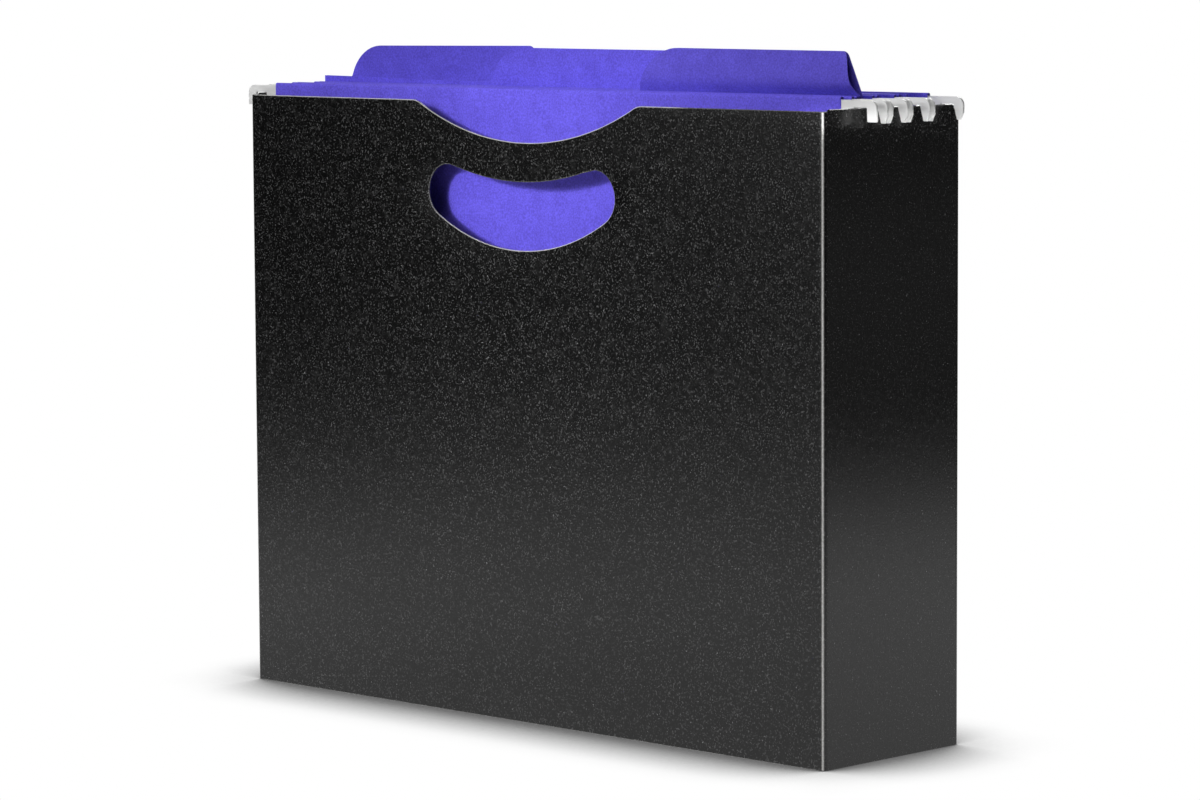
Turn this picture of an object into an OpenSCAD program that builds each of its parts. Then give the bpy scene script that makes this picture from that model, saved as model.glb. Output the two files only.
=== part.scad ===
// Portable file box: an open steel box with a hand slot and a scooped rim in its two broad
// panels. Its hemmed end walls are rails that carry four hanging folders, and three tabbed
// files stand in the folders. Millimetres.
// The origin is the middle of the underside. X runs along the width, Y to the back, Z up.

/* [Box] */
// Width over the two end walls
box_w = 315; // [290:1:345]
// Depth from the front face to the back face
box_d = 78; // [72:1:120]
// Height of the front and back panels
box_h = 244; // [220:1:290]
// Thickness of the steel sheet
sheet_t = 1; // [0.8:0.1:1.4]
// Outside radius of the upright corner bends
bend_r = 1.8; // [1.6:0.1:3]
// How far the end walls stand above the broad panels
rail_rise = 0.7; // [0:0.1:2]
// Depth of the hem folded down inside each end wall
hem_h = 9; // [6:0.5:20]
// Height of the flanges turned up round the base
flange_h = 12; // [6:1:18]

/* [Hand slot] */
// Width of the hand slot over its round ends
slot_w = 102.4; // [92:0.2:112]
// Radius of the slot's round ends
slot_end_r = 10.7; // [9:0.1:12]
// From the panel's top edge down to the centres of the round ends
slot_drop = 35.8; // [34:0.1:60]
// From those centres down to the lowest point of the slot
slot_belly = 21.9; // [18:0.1:28]
// From those centres up to the lowest point of the slot's upper edge
slot_crown = 4.8; // [2:0.1:7]

/* [Scooped rim] */
// Depth of the scoop in the top edge
scoop_depth = 15.6; // [8:0.1:20]
// Radius of the scoop
scoop_r = 126; // [90:1:160]
// Radius that rounds the scoop's two corners
scoop_corner_r = 10; // [4:0.5:14]
// How far the scoop lies to the right of the middle
scoop_shift = 2.5; // [0:0.5:8]

/* [Hanging folders] */
// From the outside of an end wall to the edge of the paper
paper_inset = 8.25; // [7:0.25:14]
// Thickness of the folders' and files' card
card_t = 0.3; // [0.25:0.05:0.4]
// Height of the paper loop that holds a rod
loop_h = 12; // [10:0.5:20]
// Width of the creased bottom of a folder
crease_w = 5; // [4:0.25:6]
// From the box's base up to the folders' bottoms
floor_gap = 20; // [16:1:40]

/* [Rods and hooks] */
// Height of the flat rods
rod_h = 8.9; // [7.5:0.1:9.5]
// Thickness of the flat steel rods
rod_t = 0.6; // [0.4:0.05:0.8]
// Thickness of the white hooks
hook_t = 1.1; // [1:0.05:1.3]
// Height of a rod's top above the notches that its hooks leave over the rails
hook_bar_h = 3.6; // [2.5:0.1:5]
// How far a hook's top lies below its rod's top
hook_step = 0.8; // [0:0.1:1.2]
// Width of a hook's downward finger at its root
hook_w = 4.6; // [3.5:0.1:7]
// Radius of a hook's outer top corner
hook_corner_r = 3.2; // [1:0.1:3.6]
// How far a slanted finger reaches below its rod
finger_drop = 0.6; // [0:0.1:1.5]
// From the outside of the wall to the hook's finger
hook_gap = 3.7; // [2:0.1:6]

/* [Files] */
// How far the highest shoulder of a file stands above the hanging folders
file_rise = 2.5; // [0.5:0.25:8]
// Height of the highest tab above that shoulder
tab_h = 14.1; // [9:0.1:20]
// Width of a tab at its foot
tab_w = 110; // [80:1:112]
// Angle by which each side of a tab leans in
tab_slant = 23.5; // [15:0.5:35]
// Radius of the tab's left top corner
tab_r = 16; // [8:0.5:18]
// Radius of the tab's right top corner
tab_end_r = 3; // [1:0.5:8]
// Radius in the corners at the tab's foot
tab_foot_r = 1.3; // [0.5:0.1:2]

/* [Hidden] */
// Where each folder's rods cross the left and the right rail, as shares of the inside depth
front_at = [[0.080, 0.254], [0.232, 0.368], [0.395, 0.518], [0.537, 0.684]];
rear_at = [[0.197, 0.332], [0.360, 0.483], [0.503, 0.650], [0.737, 0.905]];
// The leaf that swings on each folder's bottom crease: -1 the front one, 1 the rear one
swings = [-1, 1, 1, 1];
// The files, front to back: the folder that holds each, how far it leans forward at the top, how
// far its left edge lies inside the folder's, and how much lower than the highest its shoulders
// and its tab's corners are, left and right
file_folder = [1, 2, 3];
file_lean = [2, 2.3, 4.4];
file_inset = [0, 1.6, 0];
shoulder_drop = [[2.7, 2.7], [0, 3.8], [1, 2.7]];
tab_drop = [[0, 0.2], [1.4, 1.5], [1.9, 0.9]];

clearance = 0.3;         // between pieces that move past each other
seat_gap = 0.2;          // between a hook's bar and the rail that it rests on
slide_gap = 0.05;        // each side of a hook in its paper loop
hook_grip = 10;          // length of a hook inside its paper loop
rod_socket = 8;          // length of a rod inside each hook
notch_gap = 0.4;         // from the hem's inner face to the notch
finger_slant = 1.7;      // how far a finger's inner edge slants outwards
finger_chamfer = [1.2, 2.9];
ply_gap = 0.5;           // between the two plies of a closed file
over = 1;                // how far a cutting solid runs past what it cuts
$fn = 64;

rail_top = box_h + rail_rise;
inside_d = box_d - 2 * sheet_t;
hem_t = 2 * sheet_t;
rail_x = box_w / 2 - sheet_t;
paper_w = box_w - 2 * paper_inset;
hook_bar_z = rail_top + seat_gap;
rod_top = hook_bar_z + hook_bar_h;
rod_z = rod_top - rod_h;
folder_top = rod_top + card_t;
folder_foot = sheet_t + floor_gap;
loop_in = hook_t / 2 + slide_gap;
loop_out = loop_in + card_t;
rod_len = paper_w - 2 * (hook_grip - rod_socket);
file_foot = folder_foot + card_t + clearance;
file_top = folder_top + file_rise;
file_body_h = file_top - file_foot;
file_tab_x = [(paper_w - tab_w) / 2, 1.3, 3.8 - (paper_w - tab_w) / 2];

// The slot's arcs are tangent to its round ends
slot_end_x = slot_w / 2 - slot_end_r;
slot_z = box_h - slot_drop;
belly = slot_belly - slot_end_r;
belly_c = (slot_end_x * slot_end_x - belly * belly) / (2 * belly);
belly_r = slot_belly + belly_c;
crown = slot_end_r - slot_crown;
crown_c = (slot_end_x * slot_end_x - crown * crown) / (2 * crown);
crown_r = crown_c - slot_crown;

// The scoop's corner rounds are tangent to the scoop and to the top edge
scoop_z = box_h - scoop_depth + scoop_r;
corner_z = box_h - scoop_corner_r;
corner_x = sqrt(pow(scoop_r + scoop_corner_r, 2) - pow(scoop_z - corner_z, 2));

// Where a rod crosses the middle of the box, and how far it is turned about Z
function rod_y(at) = inside_d * ((at[0] + at[1]) / 2 - 0.5);
function rod_turn(at) = atan2(inside_d * (at[1] - at[0]), 2 * rail_x);
function fold_y(k) = (rod_y(front_at[k]) + rod_y(rear_at[k])) / 2;
function fold_turn(k) = (rod_turn(front_at[k]) + rod_turn(rear_at[k])) / 2;
// How far a leaf leans in towards the middle of its folder on the way down
function lean_in(k) = (rod_y(rear_at[k]) - rod_y(front_at[k])) / 2 - crease_w / 2 + loop_out;
// The outer bottom corner of a leaf, at x along its rod
function foot(at, side, k, x) = let (turn = rod_turn(at), y = side * (loop_out - lean_in(k)))
    [x * cos(turn) - y * sin(turn), rod_y(at) + x * sin(turn) + y * cos(turn)];

module along_rod(at) {
    translate([0, rod_y(at), 0]) rotate([0, 0, rod_turn(at)]) children();
}

// A drawing in X and Z, pushed back along Y by its thickness
module upright(t) {
    translate([0, t, 0]) rotate([90, 0, 0]) linear_extrude(height = t) children();
}

// Points on an arc round c, from one angle to another
function arc(c, r, a0, a1, steps) = [for (i = [0:steps]) let (a = a0 + (a1 - a0) * i / steps)
    c + r * [cos(a), sin(a)]];

// Points that round the corner b between the lines to a and to c
function corner(a, b, c, r, steps) = let (
    u = (a - b) / norm(a - b),
    v = (c - b) / norm(c - b),
    half = acos(u * v) / 2,
    middle = b + (u + v) / norm(u + v) * r / sin(half),
    p = b + u * r / tan(half) - middle,
    q = b + v * r / tan(half) - middle)
    [for (i = [0:steps]) let (w = p + (q - p) * i / steps) middle + r * w / norm(w)];

module slot_outline() {
    low = atan2(-belly_c, slot_end_x);
    high = atan2(crown_c, -slot_end_x);
    translate([0, slot_z]) polygon(concat(
        arc([slot_end_x, 0], slot_end_r, low, high, 24),
        arc([0, crown_c], crown_r, high - 180, -high, 24),
        arc([-slot_end_x, 0], slot_end_r, 180 - high, 180 - low, 24),
        arc([0, belly_c], belly_r, -180 - low, low, 32)));
}

module scoop_outline() {
    slope = atan2(scoop_z - corner_z, corner_x);
    translate([scoop_shift, 0]) polygon(concat(
        [[-corner_x, box_h + over]],
        arc([-corner_x, corner_z], scoop_corner_r, 90, slope, 8),
        arc([0, scoop_z], scoop_r, slope - 180, -slope, 40),
        arc([corner_x, corner_z], scoop_corner_r, 180 - slope, 90, 8),
        [[corner_x, box_h + over]]));
}

// A broad panel with its hand slot and scoop, and the bends at its two upright edges
module broad_panel() {
    flat_w = box_w - 2 * bend_r;
    difference() {
        translate([-flat_w / 2, -box_d / 2, 0]) cube([flat_w, sheet_t, box_h]);
        translate([0, -box_d / 2 - over, 0]) upright(sheet_t + 2 * over) {
            slot_outline();
            scoop_outline();
        }
    }
    for (side = [0, 1]) mirror([side, 0, 0]) {
        translate([flat_w / 2, bend_r - box_d / 2, 0]) intersection() {
            difference() {
                cylinder(r = bend_r, h = box_h);
                translate([0, 0, -over]) cylinder(r = bend_r - sheet_t, h = box_h + 2 * over);
            }
            translate([0, -bend_r - over, 0]) cube([bend_r + over, bend_r + over, box_h]);
        }
    }
}

module front_panel() {
    color("#1b1b1d") broad_panel();
}

module back_panel() {
    color("#1b1b1d") mirror([0, 1, 0]) broad_panel();
}

// An end wall: one sheet with its top edge hemmed over inwards
module end_wall() {
    wall_d = box_d - 2 * bend_r;
    translate([0, wall_d / 2, 0]) rotate([90, 0, 0]) linear_extrude(height = wall_d) {
        translate([box_w / 2 - sheet_t, 0]) square([sheet_t, rail_top - sheet_t]);
        translate([box_w / 2 - hem_t, rail_top - hem_h]) square([hem_t, hem_h - sheet_t]);
        translate([box_w / 2 - sheet_t, rail_top - sheet_t]) circle(sheet_t);
    }
}

module right_wall() {
    color("#1b1b1d") end_wall();
}

module left_wall() {
    color("#1b1b1d") mirror([1, 0, 0]) end_wall();
}

// The base: a shallow pan whose flanges are welded inside the walls
module base_pan() {
    pan_w = box_w - 2 * sheet_t;
    pan_d = box_d - 2 * sheet_t;
    relief = bend_r;
    color("#1b1b1d") {
        linear_extrude(height = sheet_t) difference() {
            square([pan_w, pan_d], center = true);
            for (x = [-1, 1], y = [-1, 1]) translate([x * pan_w / 2, y * pan_d / 2])
                square(2 * relief, center = true);
        }
        for (side = [-1, 1]) {
            translate([0, side * (pan_d - sheet_t) / 2, flange_h / 2])
                cube([pan_w - 2 * relief - hem_t, sheet_t, flange_h], center = true);
            translate([side * (pan_w - sheet_t) / 2, 0, flange_h / 2])
                cube([sheet_t, pan_d - 2 * relief - hem_t, flange_h], center = true);
        }
    }
}

// A leaf in its rod's own frame: a loop over the rod, then one ply down to the bottom crease
module leaf(k, at, side) {
    lean = lean_in(k);
    swing_gap = side == swings[k] ? clearance : 0;
    foot_z = folder_foot + card_t + swing_gap;
    loop_z = folder_top - loop_h;
    section = [[loop_in, loop_z], [loop_in - lean, foot_z], [loop_out - lean, foot_z],
        [loop_out, loop_z], [loop_out, folder_top], [-loop_out, folder_top],
        [-loop_out, loop_z], [-loop_in, loop_z], [-loop_in, rod_top], [loop_in, rod_top]];
    color("#5a50d2") along_rod(at) rotate([90, 0, 90])
        linear_extrude(height = paper_w, center = true)
            polygon([for (p = section) [side * p[0], p[1]]]);
}

// The creased strip between the feet of a folder's two leaves
module crease(k) {
    half = paper_w / 2;
    color("#5a50d2") translate([0, 0, folder_foot]) linear_extrude(height = card_t)
        polygon([foot(front_at[k], -1, k, -half), foot(front_at[k], -1, k, half),
            foot(rear_at[k], 1, k, half), foot(rear_at[k], 1, k, -half)]);
}

module rod(at) {
    color("#b9bcc0") along_rod(at) translate([-rod_len / 2, -rod_t / 2, rod_z])
        cube([rod_len, rod_t, rod_h]);
}

// The right-hand hook, drawn in X and Z: a bar inside the loop, a notch over the rail and a
// finger outside the wall. The first rod's hooks have square fingers.
module hook_outline(square_end) {
    x0 = paper_w / 2 - hook_grip;
    x1 = box_w / 2 - hem_t - notch_gap;
    x2 = box_w / 2 + hook_gap;
    x3 = x2 + hook_w;
    slant = square_end ? 0.2 : finger_slant;
    cut = square_end ? [0.2, 0.4] : finger_chamfer;
    tip = square_end ? rod_z : rod_z - finger_drop;
    top = rod_top - hook_step;
    polygon([[x0, rod_z], [x1, rod_z], [x1, hook_bar_z], [x2, hook_bar_z],
        [x2 + slant, tip], [x3 - cut[0], tip], [x3, tip + cut[1]],
        [x3, top - hook_corner_r], [x3 - hook_corner_r, top], [x0, top]]);
    translate([x3 - hook_corner_r, top - hook_corner_r]) circle(hook_corner_r);
}

module hooks(at, square_end) {
    color("#e4e4e2") along_rod(at) difference() {
        for (side = [0, 1]) mirror([side, 0, 0])
            translate([0, -hook_t / 2, 0]) upright(hook_t) hook_outline(square_end);
        translate([-rod_len / 2, -rod_t / 2, rod_z - over])
            cube([rod_len, rod_t, rod_h + 2 * over]);
    }
}

// A ply with the tab of file i, in X and Z from its bottom fold
module tabbed_ply(i) {
    half = paper_w / 2;
    left = file_body_h - shoulder_drop[i][0];
    right = file_body_h - shoulder_drop[i][1];
    top = [for (drop = tab_drop[i]) file_body_h + tab_h - drop];
    foot = [for (side = [-1, 1]) let (x = file_tab_x[i] + side * tab_w / 2)
        [x, left + (right - left) * (x + half) / paper_w]];
    crown = [for (side = [0, 1])
        [foot[side][0] + (1 - 2 * side) * (top[side] - foot[side][1]) * tan(tab_slant), top[side]]];
    flush = foot[1][0] > half - 2 * tab_foot_r;
    edge = file_inset[i] - half;
    polygon(concat([[edge, 0], [half, 0], [half, right]],
        flush ? [] : corner([half, right], foot[1], crown[1], tab_foot_r, 6),
        corner(foot[1], crown[1], crown[0], tab_end_r, 8),
        corner(crown[1], crown[0], foot[0], tab_r, 16),
        corner(crown[0], foot[0], [edge, left], tab_foot_r, 6),
        [[edge, left]]));
}

// A ply without a tab
module plain_ply(i) {
    half = paper_w / 2;
    edge = file_inset[i] - half;
    polygon([[edge, 0], [half, 0], [half, file_body_h - shoulder_drop[i][1]],
        [edge, file_body_h - shoulder_drop[i][0]]]);
}

// A file: one card folded at the bottom, with a tab on its back ply. The front one has it on both.
module file(i) {
    k = file_folder[i];
    depth = ply_gap + 2 * card_t;
    color("#5a50d2") translate([0, fold_y(k), file_foot]) rotate([0, 0, fold_turn(k)])
        rotate([atan2(file_lean[i], file_body_h), 0, 0]) translate([0, -depth / 2, 0]) {
            upright(card_t) {
                if (i == 0) tabbed_ply(i);
                else plain_ply(i);
            }
            translate([0, depth - card_t, 0]) upright(card_t) tabbed_ply(i);
            translate([file_inset[i] - paper_w / 2, 0, 0])
                cube([paper_w - file_inset[i], depth, card_t]);
        }
}

front_panel();
back_panel();
left_wall();
right_wall();
base_pan();

for (k = [0:3]) {
    folder = str("folder_", k + 1);
    leaf(k, front_at[k], -1);
    crease(k);
    leaf(k, rear_at[k], 1);
    rod(front_at[k]);
    rod(rear_at[k]);
    hooks(front_at[k], k == 0);
    hooks(rear_at[k], false);
}

file(0);  // file_right
file(1);  // file_centre
file(2);  // file_left
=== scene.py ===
import math

import bmesh
import bpy
import numpy as np
from mathutils import Matrix, Vector


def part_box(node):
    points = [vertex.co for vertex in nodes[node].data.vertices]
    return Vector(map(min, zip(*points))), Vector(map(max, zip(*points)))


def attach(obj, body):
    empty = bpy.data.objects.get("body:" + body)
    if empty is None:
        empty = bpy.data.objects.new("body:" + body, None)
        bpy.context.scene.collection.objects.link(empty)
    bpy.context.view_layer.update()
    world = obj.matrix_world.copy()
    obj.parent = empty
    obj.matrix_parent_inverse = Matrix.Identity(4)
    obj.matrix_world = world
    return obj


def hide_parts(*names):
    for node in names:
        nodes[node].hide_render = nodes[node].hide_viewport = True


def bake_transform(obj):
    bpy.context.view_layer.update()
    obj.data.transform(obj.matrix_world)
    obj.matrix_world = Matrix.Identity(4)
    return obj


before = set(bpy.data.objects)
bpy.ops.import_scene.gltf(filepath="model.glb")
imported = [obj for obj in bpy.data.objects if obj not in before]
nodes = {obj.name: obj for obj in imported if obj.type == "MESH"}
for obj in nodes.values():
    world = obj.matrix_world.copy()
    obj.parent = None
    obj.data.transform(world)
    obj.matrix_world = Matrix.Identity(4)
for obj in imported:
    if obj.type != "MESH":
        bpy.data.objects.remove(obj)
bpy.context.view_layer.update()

mm = 0.001
black = (0, 0, 0, 1)
white = (1, 1, 1, 1)


# Materials

noiseSpan = (0.3, 0.7)  # where the values of a noise mostly lie


# A new material with one Principled surface; every setting goes on the shader's own sockets
def newMaterial(name, **sockets):
    material = bpy.data.materials.new(name)
    material.use_nodes = True
    tree = material.node_tree
    shader = tree.nodes["Principled BSDF"]
    for socket, value in sockets.items():
        shader.inputs[socket.replace("_", " ")].default_value = value
    return material, tree, shader


# A node with its inputs set by name or number: a number or colour is a value, a socket is a link
def addNode(tree, kind, inputs=(), **settings):
    node = tree.nodes.new(kind)
    for setting, value in settings.items():
        setattr(node, setting, value)
    for key, value in dict(inputs).items():
        if isinstance(value, bpy.types.NodeSocket):
            tree.links.new(value, node.inputs[key])
        else:
            node.inputs[key].default_value = value
    return node


def maths(tree, operation, first, second):
    return addNode(tree, "ShaderNodeMath", {0: first, 1: second}, operation=operation).outputs[0]


def mixValues(tree, share, first, second):
    return addNode(tree, "ShaderNodeMix", {0: share, 2: first, 3: second}, data_type="FLOAT").outputs[0]


def mixColours(tree, share, first, second):
    return addNode(tree, "ShaderNodeMix", {0: share, 6: first, 7: second}, data_type="RGBA").outputs[2]


# A value carried from one span to another, held at the ends
def remap(tree, value, span, newSpan=(0, 1)):
    return addNode(tree, "ShaderNodeMapRange", {
        "Value": value, "From Min": span[0], "From Max": span[1],
        "To Min": newSpan[0], "To Max": newSpan[1]}).outputs["Result"]


# Noise on Object coordinates, whose grain is given in metres, the same every way or one for each axis
def grainNoise(tree, grain, detail=2.0, roughness=0.5):
    where = addNode(tree, "ShaderNodeTexCoord").outputs["Object"]
    stretch = [1 / g for g in np.broadcast_to(grain, 3)]
    place = addNode(tree, "ShaderNodeMapping", {"Vector": where, "Scale": stretch})
    noise = addNode(tree, "ShaderNodeTexNoise", {
        "Vector": place.outputs[0], "Scale": 1.0, "Detail": detail, "Roughness": roughness})
    return noise.outputs["Fac"]


# The value painted on a piece's points. On the box it is the strength of a painted highlight along bends,
# cut edges and the hem top, and on the card it is the share of painted shade by which a sheet is darker.
def paintedMark(tree):
    return addNode(tree, "ShaderNodeAttribute", attribute_name="mark").outputs["Fac"]


# Bump layers one on another, each a height with its strength and its depth in metres
def bumps(tree, shader, layers):
    normal = None
    for height, strength, distance in layers:
        inputs = {"Height": height, "Strength": strength, "Distance": distance}
        if normal is not None:
            inputs["Normal"] = normal
        normal = addNode(tree, "ShaderNodeBump", inputs).outputs["Normal"]
    tree.links.new(normal, shader.inputs["Normal"])


# The painted highlight along marked edges has the colour bright and the roughness brightGloss
coat = {
    "dark": (0.0005, 0.0005, 0.0005, 1), "light": (0.0800, 0.0800, 0.0812, 1),
    "fleck": (0.26, 0.26, 0.265, 1), "bright": (0.80, 0.79, 0.77, 1), "specular": 0.5,
    "grain": 0.7 * mm, "patch": 2.24 * mm, "fleckGrain": 0.85 * mm,
    "lightSpan": (0.59, 0.70), "fleckSpan": (0.71, 0.78), "highlightSpan": (0.3, 0.6), "highlightRange": (0.75, 1),
    "gloss": (0.23, 0.29), "brightGloss": 0.30, "patchBump": (0.1, 0.05 * mm), "grainBump": (0.5, 0.07 * mm),
}


# Powder coat: rough grain of two sizes, with a pale fleck where a fine noise peaks. Marked bends and cut
# edges carry a painted highlight, a pale colour and smoother gloss, made a little uneven by the fine noise.
def makeCoat():
    material, tree, shader = newMaterial("powderCoat", Specular_IOR_Level=coat["specular"])
    fine = grainNoise(tree, coat["grain"], 1.0)
    broad = grainNoise(tree, coat["patch"])
    peaks = grainNoise(tree, coat["fleckGrain"], 1.0)
    mark = paintedMark(tree)
    grained = mixColours(tree, remap(tree, fine, coat["lightSpan"]), coat["dark"], coat["light"])
    speckled = mixColours(tree, remap(tree, peaks, coat["fleckSpan"]), grained, coat["fleck"])
    # Painted highlight: the mark, varied by the fine noise, mixes in the bright colour and its gloss
    uneven = maths(tree, "MULTIPLY", mark, remap(tree, fine, coat["highlightSpan"], coat["highlightRange"]))
    tree.links.new(mixColours(tree, uneven, speckled, coat["bright"]), shader.inputs["Base Color"])
    gloss = remap(tree, broad, noiseSpan, coat["gloss"])
    tree.links.new(mixValues(tree, mark, gloss, coat["brightGloss"]), shader.inputs["Roughness"])
    bumps(tree, shader, [(broad, *coat["patchBump"]), (fine, *coat["grainBump"])])
    return material


card = {
    "deep": (0.096, 0.066, 0.62), "bright": (0.176, 0.136, 0.95), "fileShade": 0.95,
    "roughness": 0.72, "specular": 0.35, "sheen": 0.06, "sheenRoughness": 0.5,
    "cloud": 9 * mm, "fibre": 0.7 * mm, "fibreLength": 2.1 * mm, "cloudShare": 0.3, "fineShare": 0.7,
    "cloudBump": (0.12, 0.25 * mm), "fibreBump": (0.2, 0.03 * mm), "fineBump": (0.15, 0.02 * mm),
}


# Dyed card: cloudy colour, short fibres drawn out along the sheet, and a soft sheen
def makeCard(name, shade=1.0):
    material, tree, shader = newMaterial(
        name, Roughness=card["roughness"], Specular_IOR_Level=card["specular"],
        Sheen_Weight=card["sheen"], Sheen_Roughness=card["sheenRoughness"])
    cloud = grainNoise(tree, card["cloud"], 3.0)
    fibre = grainNoise(tree, (card["fibreLength"], card["fibre"], card["fibre"]), 2.0, 0.6)
    fine = grainNoise(tree, card["fibre"], 1.0)
    share = maths(tree, "ADD", remap(tree, cloud, noiseSpan, (0, card["cloudShare"])),
                  remap(tree, fine, noiseSpan, (0, card["fineShare"])))
    deep, bright = ([shade * c for c in card[tone]] + [1] for tone in ("deep", "bright"))
    dyed = mixColours(tree, share, deep, bright)
    # Painted shade: the mark darkens a sheet towards black
    tree.links.new(mixColours(tree, paintedMark(tree), dyed, black), shader.inputs["Base Color"])
    bumps(tree, shader, [(cloud, *card["cloudBump"]), (fibre, *card["fibreBump"]), (fine, *card["fineBump"])])
    return material


nylon = {
    "dull": (0.80, 0.80, 0.795, 1), "clear": (0.86, 0.86, 0.855, 1),
    "roughness": (0.38, 0.5), "specular": 0.4,
    "cloud": 4 * mm, "peel": 0.7 * mm, "peelBump": (0.12, 0.03 * mm),
}


# Moulded nylon: faint clouding, and the orange peel of the mould
def makeNylon():
    material, tree, shader = newMaterial("whiteNylon", Specular_IOR_Level=nylon["specular"])
    cloud = grainNoise(tree, nylon["cloud"])
    peel = grainNoise(tree, nylon["peel"])
    tree.links.new(mixColours(tree, cloud, nylon["dull"], nylon["clear"]), shader.inputs["Base Color"])
    tree.links.new(remap(tree, cloud, noiseSpan, nylon["roughness"]), shader.inputs["Roughness"])
    bumps(tree, shader, [(peel, *nylon["peelBump"])])
    return material


steel = {
    "dark": (0.42, 0.43, 0.44, 1), "light": (0.68, 0.69, 0.70, 1), "roughness": (0.22, 0.42),
    "lineLength": 30 * mm, "lineWidth": 0.12 * mm, "lineBump": (0.1, 0.02 * mm),
}


# Rolled steel strip: fine lines along its length
def makeSteel():
    material, tree, shader = newMaterial("rolledSteel", Metallic=1.0)
    lines = grainNoise(tree, (steel["lineLength"], steel["lineWidth"], steel["lineWidth"]), 3.0)
    tree.links.new(mixColours(tree, lines, steel["dark"], steel["light"]), shader.inputs["Base Color"])
    tree.links.new(remap(tree, lines, noiseSpan, steel["roughness"]), shader.inputs["Roughness"])
    bumps(tree, shader, [(lines, *steel["lineBump"])])
    return material


powderCoat = makeCoat()
folderCard = makeCard("folderCard")
fileCard = makeCard("fileCard", card["fileShade"])
whiteNylon = makeNylon()
rolledSteel = makeSteel()
print("materials made")


# Surfaces: each is one or more grids of points, welded where they meet

weldGap = 0.002 * mm  # points nearer than this become one
shortEdge = 0.001 * mm  # edges shorter than this are dissolved


# The four corners of every cell of a grid, as numbers of its points; a wrapped way joins its two ends
def gridCells(rows, cols, wrapRows=False, wrapCols=False):
    index = np.arange(rows * cols).reshape(rows, cols)
    if wrapRows:
        index = np.vstack([index, index[:1]])
    if wrapCols:
        index = np.hstack([index, index[:, :1]])
    return np.stack([index[:-1, :-1], index[1:, :-1], index[1:, 1:], index[:-1, 1:]], -1).reshape(-1, 4)


# One mesh object from flat caps and grids (points, wrapRows, wrapCols, and marks if it has any), welded,
# with its faces turned outwards. Edges that turn by more than the sharp angle, in degrees, stay sharp.
def makePiece(name, grids, material, caps=(), sharp=35):
    points, faces, marks, start = [], [], [], 0
    for grid, wrapRows, wrapCols, *mark in grids:
        cells = gridCells(*grid.shape[:2], wrapRows, wrapCols) + start
        points.append(grid.reshape(-1, 3))
        marks.append(np.broadcast_to(mark[0] if mark else 0.0, grid.shape[:2]).ravel())
        faces += cells.tolist()
        start += len(points[-1])
    for cap in caps:
        points.append(cap)
        marks.append(np.zeros(len(cap)))
        faces.append(list(range(start, start + len(cap))))
        start += len(cap)
    mesh = bpy.data.meshes.new(name)
    mesh.from_pydata(np.vstack(points), [], faces)
    painted = mesh.attributes.new("mark", "FLOAT", "POINT")
    painted.data.foreach_set("value", np.concatenate(marks).astype(np.float32))
    work = bmesh.new()
    work.from_mesh(mesh)
    bmesh.ops.remove_doubles(work, verts=work.verts, dist=weldGap)
    bmesh.ops.dissolve_degenerate(work, edges=work.edges, dist=shortEdge)
    bmesh.ops.recalc_face_normals(work, faces=work.faces)
    openEdges = sum(len(e.link_faces) != 2 for e in work.edges)
    work.to_mesh(mesh)
    work.free()
    mesh.shade_smooth()
    mesh.set_sharp_from_angle(angle=math.radians(sharp))
    mesh.materials.append(material)
    piece = bpy.data.objects.new(name, mesh)
    bpy.context.scene.collection.objects.link(piece)
    print("piece", name, len(mesh.polygons), "faces", f"OPEN {openEdges}" if openEdges else "")
    return piece


# Plane points from two rows of coordinates, either of which may be a single number
def pairs(first, second):
    return np.stack(np.broadcast_arrays(first, second), -1)


# Points on an arc, from one angle to another, in degrees
def arc(centre, radius, start, end, steps):
    angle = np.radians(np.linspace(start, end, steps + 1))
    return np.array(centre) + radius * pairs(np.cos(angle), np.sin(angle))


# Unit normals to the right of a plane line of points, from the slope between each point's neighbours
def lineNormals(line, closed=False):
    if closed:
        slope = np.roll(line, -1, 0) - np.roll(line, 1, 0)
    else:
        slope = np.gradient(line, axis=0)
    slope /= np.linalg.norm(slope, axis=1)[:, None]
    return pairs(slope[:, 1], -slope[:, 0])


# A closed outline whose corners are arcs tangent to both sides: the arc's ends lie radius / tan(half the
# corner's angle) from the corner, and its centre radius / sin(half that angle) along the halving line
def roundedOutline(corners, radii, steps=6):
    corners = np.array(corners, float)
    line = []
    for i, radius in enumerate(radii):
        here = corners[i]
        before = corners[i - 1] - here
        after = corners[(i + 1) % len(corners)] - here
        before /= np.linalg.norm(before)
        after /= np.linalg.norm(after)
        half = math.acos(np.clip(before @ after, -1, 1)) / 2
        middle = here + (before + after) / np.linalg.norm(before + after) * radius / math.sin(half)
        first = here + before * radius / math.tan(half) - middle
        last = here + after * radius / math.tan(half) - middle
        share = np.linspace(0, 1, steps + 1)[:, None]
        sweep = first + share * (last - first)
        line.append(middle + radius * sweep / np.linalg.norm(sweep, axis=1)[:, None])
    return np.vstack(line)


# A flat plate with rounded edges: its outline is drawn in by the edge's radius at both faces
def plateLayers(outline, thickness, edge, steps=4):
    angle = np.radians(np.linspace(0, 90, steps + 1))
    inset = np.concatenate([edge * (1 - np.sin(angle)), edge * (1 - np.cos(angle))])
    depth = np.concatenate([edge * (1 - np.cos(angle)), thickness - edge * (1 - np.sin(angle))])
    normal = lineNormals(outline, True)
    flat = outline[None] - normal[None] * inset[:, None, None]
    return flat, depth - thickness / 2


# The box

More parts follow.
